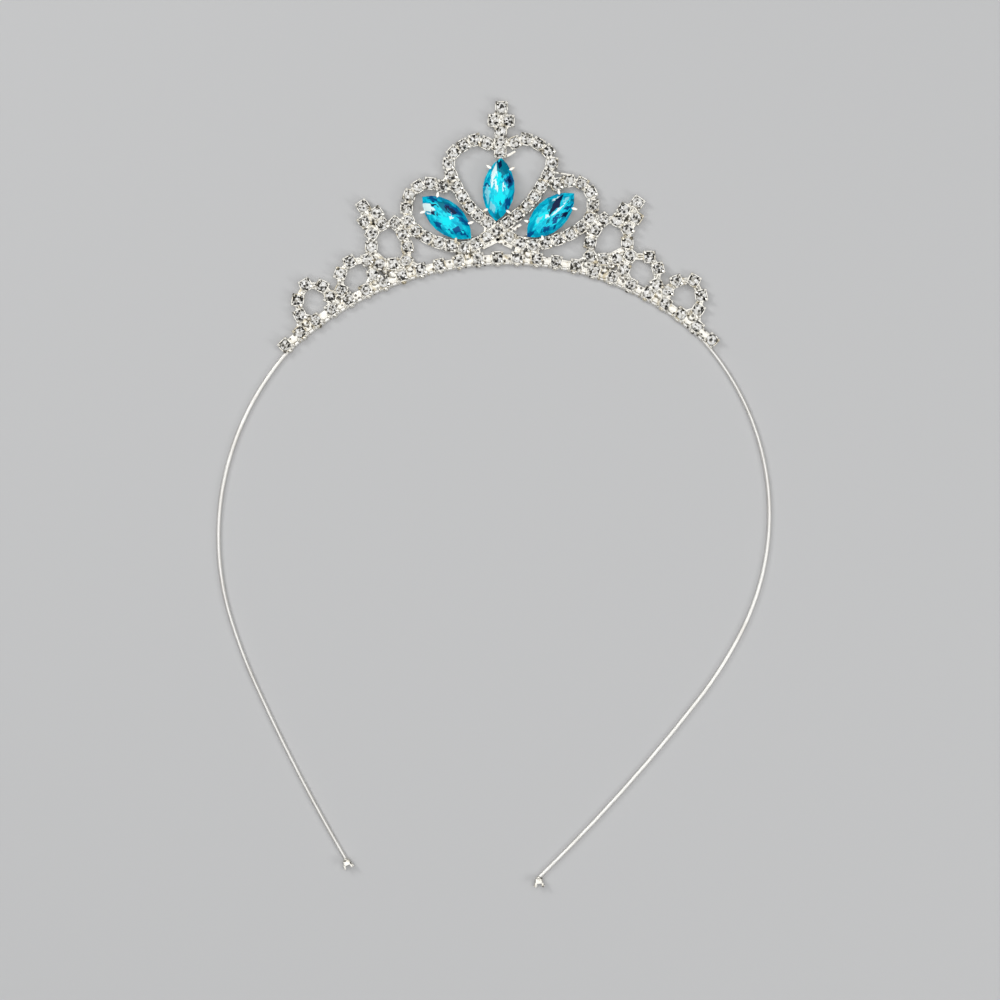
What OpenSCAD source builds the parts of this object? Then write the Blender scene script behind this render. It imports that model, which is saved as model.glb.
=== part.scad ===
// Mini crown headband: a spring wire bent to a horseshoe, with an open crown of
// stone cup chain and three navette stones standing in the same plane.
// It lies on its back: +Z is the crown's front, +Y points from the wire's open
// ends to the crown's top, and the origin is the middle of the whole piece, on
// the surface that it lies on.

/* [Headband] */
// Width of the headband loop, which the radii of its bends follow
band_width = 126; // [114:1:138]
// Diameter of the spring wire
wire_d = 0.95; // [0.8:0.05:1.1]
// Turn of the wire at the crown's middle from the X axis, in degrees
middle_turn = 1.7; // [-3:0.1:3]
// Height of the solder drops that hold the crown to the wire
solder_h = 1.1; // [1:0.05:1.3]
// Width of the claw cup on each wire end
end_cup_w = 2.1; // [1.9:0.05:2.4]

/* [Stone cups] */
// Width of a square cup
cup_w = 2.6; // [2.5:0.05:2.7]
// Thickness of a cup's back
cup_floor = 0.3; // [0.2:0.05:0.4]
// Height of a cup's walls
cup_wall_h = 1.35; // [1.3:0.05:1.5]
// Height of a cup with its claws
cup_h = 1.95; // [1.85:0.05:2.1]
// Width of the slot between two claws
claw_slot = 1.1; // [1:0.05:1.3]
// Width of the bars that link and solder the cups
link_w = 1.3; // [1.1:0.05:1.5]
// Thickness of those bars
link_t = 0.5; // [0.4:0.05:0.6]
// Height of those bars above the cups' backs
link_z = 0.15; // [0.1:0.05:0.2]

/* [Round stones] */
// Diameter of a round stone
stone_d = 2.05; // [1.95:0.05:2.1]
// Diameter of its table
table_d = 1.2; // [1.1:0.05:1.3]
// Height of its table above the cup's back
table_z = 1.8; // [1.75:0.05:1.85]
// Thickness of its girdle
girdle_t = 0.15; // [0.1:0.05:0.2]
// Space between a stone and the metal round it
stone_gap = 0.05; // [0.04:0.01:0.06]

/* [Navettes] */
// Length of a navette stone
navette_l = 14.4; // [13.5:0.1:15]
// Width of a navette stone
navette_w = 7.2; // [6.8:0.1:7.5]
// Height of its keel above the back
keel_z = 0.6; // [0.5:0.05:0.7]
// Height of its girdle above the back
navette_girdle_z = 2.3; // [2.2:0.05:2.5]
// Height of its table above the back
navette_table_z = 3.7; // [3.5:0.05:3.9]
// Distance of its table's edge from its outline
navette_bevel = 1.5; // [1.3:0.1:1.8]
// Thickness of its girdle
navette_girdle_t = 0.2; // [0.15:0.05:0.25]
// Thickness of a setting's wall
setting_wall = 0.4; // [0.3:0.05:0.5]
// Distance of a setting's wall from the stone's outline
setting_inset = 0.35; // [0.3:0.05:0.45]
// Width of a setting's claw
claw_w = 0.8; // [0.7:0.05:1]
// Thickness of a setting's claw
claw_t = 0.5; // [0.4:0.05:0.6]
// Reach of a claw over its stone
claw_lap = 0.4; // [0.3:0.05:0.5]
// Turn of the middle navette from the crown's middle line, in degrees
middle_navette_turn = 6; // [0:1:8]
// Turn of a side navette from the base row, in degrees
side_navette_turn = 50; // [45:1:55]

/* [Crown] */
// Height of the topmost stone above the base row
crown_rise = 33.7; // [32:0.1:36]
// Sideways lean of the crown from the middle of the wire, in degrees
crown_lean = 2.3; // [0:0.1:3]
// Shift of the base row's middle along the wire
row_shift = -0.3; // [-1:0.1:1]
// Number of cups in the base row
row_cups = 25; // [23:2:27]
// Space between the middles of the base row's cups, along the wire
row_pitch = 4.28; // [4.1:0.02:4.4]
// Number of cups down each half of the heart
heart_cups = 11; // [10:1:12]
// Number of cups round each loop
loop_cups = 13; // [12:1:14]
// Number of cups round each side ring
ring_cups = 10; // [9:1:11]
// Space between the middles of the stem's cups
stem_pitch = 2.3; // [2.25:0.05:2.4]
// Distance of a cross's top cup from its two arms
cross_rise = 3; // [2.85:0.05:3.2]
// Distance of a cross's arm from its middle
cross_arm = 1.65; // [1.5:0.05:1.75]
// Outward turn of the side crosses, in degrees
side_cross_turn = 14; // [8:1:18]
// Space between the crown and the wire
solder_gap = 0.05; // [0.03:0.01:0.1]

/* [Hidden] */

// Bends of the wire on each side, from the crown's middle to the wire's end:
// [radius as a share of the band's width, degrees of turn]
LEFT_BENDS = [[0.57, 40.5], [0.23, 9], [0.5, 56], [1, 7], [3.3, 6.15]];
RIGHT_BENDS = [[0.51, 42.5], [0.24, 10], [0.465, 66], [0.75, 11], [3, 8.15]];

// Turn of each wire end's cup from the direction of its wire, in degrees
LEFT_END_TURN = -9;
RIGHT_END_TURN = 49;

// Routes of the cup chains on one half of the crown, mirrored for the other:
// [along the base row as a share of half its length, up as a share of the crown's rise]
HEART_ROUTE = [[0.044, 0.765], [0.08, 0.79], [0.15, 0.72], [0.167, 0.62], [0.138, 0.455],
               [0.09, 0.315], [0, 0.18]];
LOOP_ROUTE = [[0, 0.18], [0.1, 0.093], [0.165, 0.095], [0.27, 0.18], [0.335, 0.32],
              [0.32, 0.48], [0.26, 0.55], [0.195, 0.51]];
RING_ROUTE = [[0.387, 0.344], [0.434, 0.362], [0.485, 0.32], [0.5, 0.24], [0.53, 0.17],
              [0.46, 0.105], [0.385, 0.08], [0.364, 0.2], [0.387, 0.344]];
SIDE_ROUTE = [[0.53, 0.17], [0.597, 0.217], [0.649, 0.175], [0.677, 0.077], [0.728, 0.077],
              [0.737, 0.163], [0.79, 0.23], [0.848, 0.177], [0.875, 0.09], [0.87, 0]];
RING_FOOT = [0.529, 0.074];
STEM_TOP = 0.839;
MIDDLE_CROSS = [0, 0.911];
SIDE_CROSS = [0.466, 0.433];
MIDDLE_NAVETTE = [0, 0.449];
SIDE_NAVETTE = [0.194, 0.296];

bend_space = wire_d / 19;
sleeve_l = wire_d / 1.9;
row_offset = cup_w / 2 + wire_d / 2 + solder_gap;
row_half = row_pitch * (row_cups - 1) / 2;
join_reach = 1.46 * cup_w;
seat_r = stone_d / 2 + stone_gap;
girdle_z = cup_wall_h;
crown_slope = (stone_d - table_d) / 2 / (table_z - girdle_z);
drop_r = row_offset - link_w / 2 - 2 * solder_gap - wire_d / 2;
sleeve_d = 1.02 * wire_d;

// Position along the wire

function wire_radius(bend) = bend[0] * band_width;
function bend_length(bend) = wire_radius(bend) * bend[1] * PI / 180;
function turned(bends, i) = i == 0 ? 0 : turned(bends, i - 1) + bends[i - 1][1];
function length_before(bends, i) = i == 0 ? 0 : length_before(bends, i - 1) + bend_length(bends[i - 1]);
function side_bends(side) = side > 0 ? RIGHT_BENDS : LEFT_BENDS;
function side_length(side) = length_before(side_bends(side), len(side_bends(side)));

// Direction of travel away from the crown's middle, at the start of a bend
function heading(side, i) = (side > 0 ? 0 : 180) + middle_turn - side * turned(side_bends(side), i);
function to_centre(h, side) = side * [sin(h), -cos(h)];
function bend_start(side, i) =
    i == 0 ? [0, 0]
    : bend_start(side, i - 1) + wire_radius(side_bends(side)[i - 1])
      * (to_centre(heading(side, i - 1), side) - to_centre(heading(side, i), side));
function bend_centre(side, i) =
    bend_start(side, i) + wire_radius(side_bends(side)[i]) * to_centre(heading(side, i), side);

function bend_at(side, l, i = 0) =
    i == len(side_bends(side)) - 1 || l < length_before(side_bends(side), i + 1) ? i : bend_at(side, l, i + 1);

// Place on the wire at a distance along it from the crown's middle, right being
// positive: [x, y, turn from the X axis]
function wire_place(s) =
    let (side = s < 0 ? -1 : 1, i = bend_at(side, abs(s)), r = wire_radius(side_bends(side)[i]),
         h = heading(side, i) - side * (abs(s) - length_before(side_bends(side), i)) / r * 180 / PI,
         p = bend_centre(side, i) - r * to_centre(h, side))
    [p[0], p[1], side > 0 ? h : h - 180];

function ahead(place, along, across) =
    [place[0] + along * cos(place[2]) - across * sin(place[2]),
     place[1] + along * sin(place[2]) + across * cos(place[2]), place[2]];

// Places in the crown

function crown_place(u, v) =
    ahead(wire_place(row_shift + u * row_half + v * crown_rise * tan(crown_lean)), 0,
          row_offset + v * crown_rise);
function turn_place(place, a) = [place[0], place[1], place[2] + a];

// A smooth curve through a route's points
function curve_point(a, b, c, d, t) =
    (2 * b + (c - a) * t + (2 * a - 5 * b + 4 * c - d) * t * t + (3 * b - a - 3 * c + d) * t * t * t) / 2;
curve_steps = 8;
function smooth(route) =
    let (last = len(route) - 1, closed = route[0] == route[last])
    [for (i = [0:last - 1]) for (j = [0:curve_steps - 1])
        curve_point(i > 0 ? route[i - 1] : closed ? route[last - 1] : 2 * route[0] - route[1],
                    route[i], route[i + 1],
                    i + 2 <= last ? route[i + 2] : closed ? route[1] : 2 * route[last] - route[last - 1],
                    j / curve_steps),
     route[last]];
function crown_curve(route, side) = [for (q = smooth(route)) crown_place(side * q[0], q[1])];
function flat(p) = [p[0], p[1]];
function run_lengths(c) =
    [for (i = 0, l = 0; i < len(c); l = l + (i + 1 < len(c) ? norm(flat(c[i + 1]) - flat(c[i])) : 0), i = i + 1) l];

// Cups at n even steps along a curve, from one step to another
function chain_places(c, n, first, last) =
    let (l = run_lengths(c), total = l[len(l) - 1], d = total / n / 4,
         tx = [for (i = [0:len(c) - 1]) [l[i], c[i][0]]],
         ty = [for (i = [0:len(c) - 1]) [l[i], c[i][1]]])
    [for (k = [first:last]) let (m = total * k / n, m0 = max(m - d, 0), m1 = min(m + d, total))
        [lookup(m, tx), lookup(m, ty),
         atan2(lookup(m1, ty) - lookup(m0, ty), lookup(m1, tx) - lookup(m0, tx))]];

function cross_places(place) =
    [ahead(place, 0, cross_rise), ahead(place, -cross_arm, 0), ahead(place, cross_arm, 0)];

row_places = [for (i = [0:row_cups - 1])
    ahead(wire_place(row_shift + (i - (row_cups - 1) / 2) * row_pitch), 0, row_offset)];
crossing = crown_place(0, LOOP_ROUTE[0][1]);
heart_places = concat([for (side = [-1, 1])
                          each chain_places(crown_curve(HEART_ROUTE, side), heart_cups, 0, heart_cups - 1)],
                      [turn_place(crossing, 45)]);
stem_place = turn_place(crown_place(0, STEM_TOP), -crown_lean);
stem_places = [for (i = [0:2]) ahead(stem_place, 0, -i * stem_pitch)];
middle_cross_places = concat(cross_places(turn_place(crown_place(MIDDLE_CROSS[0], MIDDLE_CROSS[1]), -crown_lean)),
                             stem_places);
function loop_places(side) = chain_places(crown_curve(LOOP_ROUTE, side), loop_cups, 1, loop_cups);
function ring_places(side) =
    concat(chain_places(crown_curve(RING_ROUTE, side), ring_cups, 1, ring_cups),
           [crown_place(side * RING_FOOT[0], RING_FOOT[1])],
           cross_places(turn_place(crown_place(side * SIDE_CROSS[0], SIDE_CROSS[1]), -side * side_cross_turn)));

// The side chain's cups stand at its route's own points, between its two joints
function side_points(side) = [for (q = SIDE_ROUTE) crown_place(side * q[0], q[1])];
function side_places(side) =
    let (p = side_points(side))
    [for (i = [1:len(p) - 2]) [p[i][0], p[i][1], atan2(p[i + 1][1] - p[i - 1][1], p[i + 1][0] - p[i - 1][0])]];

crown_places = concat(row_places, heart_places, middle_cross_places, loop_places(-1), loop_places(1),
                      ring_places(-1), ring_places(1), side_places(-1), side_places(1));

middle_navette_place =
    turn_place(crown_place(MIDDLE_NAVETTE[0], MIDDLE_NAVETTE[1]), 90 - middle_navette_turn);
function side_navette_place(side) =
    turn_place(crown_place(side * SIDE_NAVETTE[0], SIDE_NAVETTE[1]), side > 0 ? side_navette_turn : 180 - side_navette_turn);
navette_places = [middle_navette_place, side_navette_place(-1), side_navette_place(1)];

// Middle of the whole piece

function wire_end(side) = wire_place(side * side_length(side));
function end_cup_place(side) =
    let (e = wire_end(side), out = side > 0 ? e[2] + RIGHT_END_TURN : e[2] + 180 + LEFT_END_TURN)
    [e[0], e[1], out];
function square_corners(place, side) =
    [for (i = [-1, 1]) for (j = [-1, 1]) ahead(place, i * side / 2, j * side / 2)];
wire_samples = [for (side = [-1, 1]) for (i = [0:400]) wire_place(side * side_length(side) * i / 400)];
function end_corners(side) =
    [for (x = [0, cup_h]) for (y = [-0.5, 0.5]) ahead(end_cup_place(side), x, y * end_cup_w)];
reach_points = concat([for (p = crown_places) each square_corners(p, cup_w)],
                      [for (p = wire_samples) each [[p[0] - wire_d / 2, p[1] - wire_d / 2],
                                                   [p[0] + wire_d / 2, p[1] + wire_d / 2]]],
                      end_corners(-1), end_corners(1));
low_x = min([for (p = reach_points) p[0]]);
high_x = max([for (p = reach_points) p[0]]);
low_y = min([for (p = reach_points) p[1]]);
high_y = max([for (p = reach_points) p[1]]);

module centred() {
    translate([-(low_x + high_x) / 2, -(low_y + high_y) / 2, 0]) children();
}

module at(place) {
    translate([place[0], place[1], 0]) rotate(place[2]) children();
}

// Cups and links

module cup_block(side, h) {
    translate([-side / 2, -side / 2, 0]) cube([side, side, h]);
}

// The seat for a stone, which narrows above its girdle under the claws
module cup_hollow() {
    top_r = seat_r + crown_slope * stone_gap * 2 - crown_slope * (cup_h - girdle_z);
    rotate_extrude()
        polygon([[0, cup_floor], [seat_r, cup_floor], [seat_r, girdle_z + stone_gap * 2],
                 [top_r, cup_h], [top_r, 2 * cup_h], [0, 2 * cup_h]]);
    claw_slots(cup_w);
}

module claw_slots(side) {
    for (a = [0, 90])
        rotate(a) translate([-side / 2 - stone_gap, -claw_slot / 2, cup_wall_h])
            cube([side + 2 * stone_gap, claw_slot, cup_h]);
}

module link_bar(from, to) {
    d = flat(to) - flat(from);
    translate([from[0], from[1], link_z]) rotate(atan2(d[1], d[0]))
        translate([0, -link_w / 2, 0]) cube([norm(d), link_w, link_t]);
}

module chain_links(places) {
    for (i = [0:len(places) - 2]) link_bar(places[i], places[i + 1]);
}

// Solder between each two cups that come within reach
module joints(places) {
    for (i = [0:len(places) - 2]) for (j = [i + 1:len(places) - 1])
        if (norm(flat(places[i]) - flat(places[j])) < join_reach) link_bar(places[i], places[j]);
}

// Navettes

nav_a = navette_l / 2;
nav_b = navette_w / 2;
nav_r = (nav_a * nav_a + nav_b * nav_b) / (2 * nav_b);
keel_inset = 0.9 * nav_b;
wall_in = setting_inset + setting_wall;
foot_in = setting_inset + setting_wall / 2;
stay_l = 0.92 * link_w;
setting_h = navette_girdle_z - (wall_in + 2 * stone_gap) / keel_inset * (navette_girdle_z - keel_z);
claw_along = 0.65;

module navette_prism(inset, z0, z1) {
    intersection() {
        translate([0, nav_b - nav_r, z0]) cylinder(r = nav_r - inset, h = z1 - z0, $fn = 96);
        translate([0, nav_r - nav_b, z0]) cylinder(r = nav_r - inset, h = z1 - z0, $fn = 96);
    }
}

// A claw in the plane across the stone's edge: x outward from the outline, y up
module setting_claw() {
    g = navette_girdle_z + navette_girdle_t;
    slope = (navette_table_z - g) / navette_bevel;
    lift = stone_gap * 1.5;
    rotate([90, 0, 0]) translate([0, 0, -claw_w / 2]) linear_extrude(claw_w)
        polygon([[-foot_in, claw_t], [claw_t + stone_gap, claw_t], [claw_t + stone_gap, g + claw_t / 2],
                 [-claw_lap * 0.75, g + claw_t * 1.5], [-claw_lap, g + lift + claw_lap * slope],
                 [stone_gap, g + lift - stone_gap * slope], [stone_gap, setting_h - 2 * stone_gap],
                 [-foot_in, setting_h - 2 * stone_gap]]);
}

module setting() {
    navette_prism(setting_inset, 0, setting_h);
    lean = asin(claw_along * nav_a / nav_r);
    for (up = [-1, 1]) for (end = [-1, 1])
        translate([end * claw_along * nav_a, up * (nav_r * cos(lean) - nav_r + nav_b), 0])
            rotate(up * (90 - end * lean)) setting_claw();
}

module setting_hollow() {
    navette_prism(wall_in, cup_floor, 2 * setting_h);
}

// A stay along the stone's long axis, from its lower end to the chain beside it
module stay(place) {
    link_bar(ahead(place, -nav_a * 0.85, 0), ahead(place, -nav_a - stay_l, 0));
}

// Stones

function round_ring(n, r, z, turn) =
    [for (i = [0:n - 1]) [r * cos(360 * i / n + turn), r * sin(360 * i / n + turn), z]];

// Faces between two rings of n points that start at points a and b
function band_faces(n, a, b) =
    [for (i = [0:n - 1]) each [[a + i, a + (i + 1) % n, b + i], [a + (i + 1) % n, b + (i + 1) % n, b + i]]];

module round_stone() {
    n = 8;
    points = concat([[0, 0, cup_floor + stone_gap]],
                    round_ring(n, stone_d / 2, girdle_z - girdle_t, 0),
                    round_ring(n, stone_d / 2, girdle_z, 0),
                    round_ring(n, table_d / 2, table_z, 180 / n));
    polyhedron(points,
               concat([for (i = [0:n - 1]) [0, 1 + i, 1 + (i + 1) % n]],
                      [for (f = band_faces(n, 1, 1 + n)) [f[0], f[2], f[1]]],
                      [for (f = band_faces(n, 1 + n, 1 + 2 * n)) [f[0], f[2], f[1]]],
                      [[for (i = [0:n - 1]) 1 + 2 * n + i]]));
}

function navette_ring(inset, z, m) =
    let (r = nav_r - inset, half = acos((nav_r - nav_b) / r))
    concat([for (j = [0:m - 1]) let (a = 90 - half + 2 * half * j / m)
               [r * cos(a), r * sin(a) - nav_r + nav_b, z]],
           [for (j = [0:m - 1]) let (a = 270 - half + 2 * half * j / m)
               [r * cos(a), r * sin(a) + nav_r - nav_b, z]]);

module navette_stone() {
    m = 6;
    n = 2 * m;
    g = navette_girdle_z;
    points = concat(navette_ring(keel_inset, keel_z, m),
                    navette_ring(0, g, m),
                    navette_ring(0, g + navette_girdle_t, m),
                    navette_ring(navette_bevel * 0.5, g + navette_girdle_t + (navette_table_z - g) * 0.5, m),
                    navette_ring(navette_bevel, navette_table_z, m));
    polyhedron(points,
               concat([[for (i = [0:n - 1]) i]],
                      [for (k = [0:3]) each [for (f = band_faces(n, k * n, (k + 1) * n)) [f[0], f[2], f[1]]]],
                      [[for (i = [0:n - 1]) 5 * n - 1 - i]]));
}

module stones(places) {
    color("white") centred() for (p = places) at(p) round_stone();
}

// The pieces

module end_cup(side) {
    at(end_cup_place(side))
        translate([0, 0, end_cup_w / 2]) rotate([0, 90, 0]) difference() {
            cup_block(end_cup_w, cup_h);
            translate([0, 0, cup_floor]) cylinder(d = 0.76 * end_cup_w, h = cup_h, $fn = 48);
            claw_slots(end_cup_w);
        }
}

// Each bend stops just short of the next, and a sleeve a hair wider than the
// wire closes the space between them
module wire_side(side) {
    for (i = [0:len(side_bends(side)) - 1]) {
        c = bend_centre(side, i);
        r = wire_radius(side_bends(side)[i]);
        trim = bend_space / r * 180 / PI;
        from = heading(side, i) + side * (90 - trim);
        sweep = side_bends(side)[i][1] - trim * (i == len(side_bends(side)) - 1 ? 1 : 2);
        translate([c[0], c[1], sleeve_d / 2]) rotate_extrude(angle = -side * sweep, start = from, $fn = 180)
            translate([r, 0]) rotate(180) circle(d = wire_d, $fn = 32);
    }
}

module sleeve(place) {
    at(place) translate([-sleeve_l / 2, 0, sleeve_d / 2]) rotate([0, 90, 0])
        cylinder(d = sleeve_d, h = sleeve_l, $fn = 32);
}

module headband() {
    color("gainsboro") centred() {
        wire_side(-1);
        wire_side(1);
        sleeve(wire_place(0));
        for (side = [-1, 1]) for (i = [1:len(side_bends(side)) - 1])
            sleeve(wire_place(side * length_before(side_bends(side), i)));
        end_cup(-1);
        end_cup(1);
        for (i = [0:row_cups - 2])
            at(ahead(wire_place(row_shift + (i + 1 - row_cups / 2) * row_pitch), 0, wire_d / 2))
                cylinder(r = drop_r, h = solder_h, $fn = 32);
    }
}

module crown() {
    color("silver") centred() difference() {
        union() {
            for (p = crown_places) at(p) cup_block(cup_w, cup_h);
            chain_links(row_places);
            for (side = [-1, 1]) chain_links(side_points(side));
            joints(crown_places);
            for (p = navette_places) {
                at(p) setting();
                stay(p);
            }
        }
        for (p = crown_places) at(p) cup_hollow();
        for (p = navette_places) at(p) setting_hollow();
    }
}

module row_stones() { stones(row_places); }
module heart_stones() { stones(heart_places); }
module cross_stones() { stones(middle_cross_places); }
module left_loop_stones() { stones(loop_places(-1)); }
module right_loop_stones() { stones(loop_places(1)); }
module left_ring_stones() { stones(ring_places(-1)); }
module right_ring_stones() { stones(ring_places(1)); }
module left_side_stones() { stones(side_places(-1)); }
module right_side_stones() { stones(side_places(1)); }

module middle_navette() { color("deepskyblue") centred() at(middle_navette_place) navette_stone(); }
module left_navette() { color("deepskyblue") centred() at(side_navette_place(-1)) navette_stone(); }
module right_navette() { color("deepskyblue") centred() at(side_navette_place(1)) navette_stone(); }

headband();
crown();
row_stones();
heart_stones();
cross_stones();
left_loop_stones();
right_loop_stones();
left_ring_stones();
right_ring_stones();
left_side_stones();
right_side_stones();
middle_navette();
left_navette();
right_navette();
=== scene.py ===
import math
import random

import bmesh
import bpy
from mathutils import Matrix, Vector


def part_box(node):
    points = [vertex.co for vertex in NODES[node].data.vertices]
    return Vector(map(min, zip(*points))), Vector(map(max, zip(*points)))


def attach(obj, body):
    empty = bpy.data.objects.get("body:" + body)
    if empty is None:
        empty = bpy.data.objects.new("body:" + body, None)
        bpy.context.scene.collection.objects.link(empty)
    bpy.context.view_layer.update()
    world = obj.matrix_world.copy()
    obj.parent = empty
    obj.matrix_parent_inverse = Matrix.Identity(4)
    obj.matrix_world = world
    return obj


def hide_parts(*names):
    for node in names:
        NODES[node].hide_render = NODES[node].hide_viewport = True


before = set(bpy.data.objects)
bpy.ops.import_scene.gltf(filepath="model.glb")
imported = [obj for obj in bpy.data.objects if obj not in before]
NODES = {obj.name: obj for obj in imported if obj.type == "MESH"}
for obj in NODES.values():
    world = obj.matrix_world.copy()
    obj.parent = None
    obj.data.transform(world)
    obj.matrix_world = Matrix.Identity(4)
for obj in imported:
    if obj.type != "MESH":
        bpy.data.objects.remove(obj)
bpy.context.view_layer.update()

# The wire: one length of round spring steel, silver plated and polished, bent
# by hand to a horseshoe that grips the head. It is run out from the middle of
# the crown, bend by bend, down each side.

MM = 0.001
WIRE_RADIUS = 0.475 * MM
WIRE_SIDES = 12
WIRE_HEIGHT = 0.485 * MM
BAND_WIDTH = 126 * MM
MIDDLE_TURN = 1.7
LEFT, RIGHT = -1, 1
# each bend from the middle out: its radius as a share of the band's width, and its turn in degrees
BENDS = {LEFT: [(0.57, 40.5), (0.23, 9), (0.5, 56), (1, 7), (3.3, 6.15)],
         RIGHT: [(0.51, 42.5), (0.24, 10), (0.465, 66), (0.75, 11), (3, 8.15)]}
DEGREES_A_STEP = 1.5
FEWEST_STEPS = 6
SAME_POINT = 0.001 * MM
SILVER = (0.84, 0.825, 0.79, 1)
WORN_SILVER = (0.7, 0.67, 0.62, 1)
NONE, WHOLE = (0, 0, 0), (1, 1, 1)


class Shade:
    """A value that varies over a surface and takes part in arithmetic."""

    def __init__(self, finish, socket):
        self.finish, self.socket = finish, socket

    def _sum(self, operation, other, swapped=False):
        a, b = (other, self) if swapped else (self, other)
        return self.finish.node("ShaderNodeMath", {"operation": operation}, {0: a, 1: b})

    def __add__(self, other):
        return self._sum("ADD", other)

    def __radd__(self, other):
        return self._sum("ADD", other, True)

    def __sub__(self, other):
        return self._sum("SUBTRACT", other)

    def __rsub__(self, other):
        return self._sum("SUBTRACT", other, True)

    def __mul__(self, other):
        return self._sum("MULTIPLY", other)

    def __rmul__(self, other):
        return self._sum("MULTIPLY", other, True)


class Finish:
    """A procedural material, made node by node."""

    def __init__(self, name):
        self.material = bpy.data.materials.new(name)
        self.material.use_nodes = True
        self.tree = self.material.node_tree
        self.shader = self.tree.nodes["Principled BSDF"]
        self.place = self.node("ShaderNodeTexCoord", output="Object")

    def node(self, kind, settings=None, inputs=None, output=0):
        made = self.tree.nodes.new(kind)
        for key, value in (settings or {}).items():
            if key == "stops":
                ramp = made.color_ramp
                while len(ramp.elements) < len(value):
                    ramp.elements.new(1)
                for element, (position, colour) in zip(ramp.elements, value):
                    element.position, element.color = position, (*colour[:3], 1)
            else:
                setattr(made, key, value)
        for key, value in (inputs or {}).items():
            self.plug(value, made.inputs[key])
        return Shade(self, made.outputs[output])

    def plug(self, value, socket):
        if isinstance(value, Shade):
            self.tree.links.new(value.socket, socket)
        else:
            socket.default_value = value

    def mix(self, factor, a, b):
        return self.node("ShaderNodeMix", {"data_type": "RGBA"}, {0: factor, 6: a, 7: b}, 2)

    def ramp(self, value, *stops):
        return self.node("ShaderNodeValToRGB", {"stops": stops}, {0: value})

    def noise(self, scale, detail, roughness):
        return self.node("ShaderNodeTexNoise", {},
                         {"Vector": self.place, "Scale": scale, "Detail": detail, "Roughness": roughness})

    def patches(self, low, high, scale):
        """Soft-edged patches, from 0 to 1."""
        return self.ramp(self.noise(scale, 3, 0.6), (low, NONE), (high, WHOLE))

    def specks(self, share, scale):
        """Small round spots in a share of the cells: 1 in a spot, soft at its edge, and 0 elsewhere."""
        away, cell = [self.node("ShaderNodeTexVoronoi", {"feature": "F1"},
                                {"Vector": self.place, "Scale": scale}, output) for output in (0, 1)]
        drawn = self.node("ShaderNodeSeparateColor", {}, {0: cell})
        chosen = self.ramp(drawn, (share, WHOLE), (share + 0.02, NONE))
        return chosen * self.ramp(away, (0.28, WHOLE), (0.38, NONE))

    def by_face(self, name):
        """The tones of that name that toned() gave the faces."""
        return self.node("ShaderNodeAttribute", {"attribute_name": name}, output=2)

    def bump(self, height, strength, distance):
        return self.node("ShaderNodeBump", {}, {"Strength": strength, "Distance": distance, "Height": height})

    def set(self, **sockets):
        for name, value in sockets.items():
            self.plug(value, self.shader.inputs[name.replace("_", " ")])


def only(piece):
    """Selects one piece and nothing else."""
    bpy.ops.object.select_all(action="DESELECT")
    piece.select_set(True)
    bpy.context.view_layer.objects.active = piece
    return piece


def fresh(primitive, **settings):
    """Adds a primitive and puts its place, turn and scale in its mesh."""
    bpy.ops.object.select_all(action="DESELECT")
    primitive(**settings)
    bpy.ops.object.transform_apply(location=True, rotation=True, scale=True)
    return bpy.context.object


def shape(piece, *steps):
    """Runs edit-mode steps on a piece, each on what its test picks, or on what the last step left."""
    only(piece)
    bpy.ops.object.mode_set(mode="EDIT")
    for kind, test, step in steps:
        if test:
            bpy.ops.mesh.select_mode(type=kind)
            bpy.ops.mesh.select_all(action="DESELECT")
            work = bmesh.from_edit_mesh(piece.data)
            work.normal_update()
            for item in {"FACE": work.faces, "EDGE": work.edges, "VERT": work.verts}[kind]:
                item.select_set(test(item))
            bmesh.update_edit_mesh(piece.data)
        step()
    bpy.ops.object.mode_set(mode="OBJECT")
    return piece


def joined(pieces):
    bpy.ops.object.select_all(action="DESELECT")
    for piece in pieces:
        piece.select_set(True)
    bpy.context.view_layer.objects.active = pieces[0]
    if len(pieces) > 1:
        bpy.ops.object.join()
    return bpy.context.view_layer.objects.active


def smoothed(piece, degrees):
    only(piece)
    bpy.ops.object.shade_smooth_by_angle(angle=math.radians(degrees))
    return piece


def finished(piece, name, finish, slot, *replaced):
    """Names a piece, gives it its material and its body, and hides the CAD nodes that it stands for."""
    piece.name = piece.data.name = name
    piece.data.materials.clear()
    piece.data.materials.append(finish.material)
    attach(piece, "root")
    if replaced:
        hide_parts(*replaced)
    return piece


def any_item(item):
    return True


def merged(distance):
    return lambda: bpy.ops.mesh.remove_doubles(threshold=distance)


def spun(centre, degrees, steps):
    """Runs what is selected round a centre. The operator counts clockwise turns as positive."""
    return lambda: bpy.ops.mesh.spin(steps=steps, angle=-math.radians(degrees), center=centre, axis=(0, 0, 1))


def wire_side(side):
    """One side of the wire, and the place and heading of its end."""
    heading = math.radians(MIDDLE_TURN + (0 if side == RIGHT else 180))
    at = Vector((0, 0, WIRE_HEIGHT))
    tube = fresh(bpy.ops.mesh.primitive_circle_add, vertices=WIRE_SIDES, radius=WIRE_RADIUS, location=at,
                 rotation=(math.radians(90), 0, heading + math.radians(90)))
    bends = []
    for share, degrees in BENDS[side]:
        inward = Vector((math.sin(heading), -math.cos(heading), 0)) * side
        centre = at + inward * share * BAND_WIDTH
        steps = max(FEWEST_STEPS, round(degrees / DEGREES_A_STEP))
        bends.append(("EDGE", None if bends else any_item, spun(centre, -side * degrees, steps)))
        at = centre + Matrix.Rotation(-side * math.radians(degrees), 3, "Z") @ (at - centre)
        heading -= side * math.radians(degrees)
    bends.append(("EDGE", None, bpy.ops.mesh.edge_face_add))
    return shape(tube, *bends), at, heading


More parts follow.
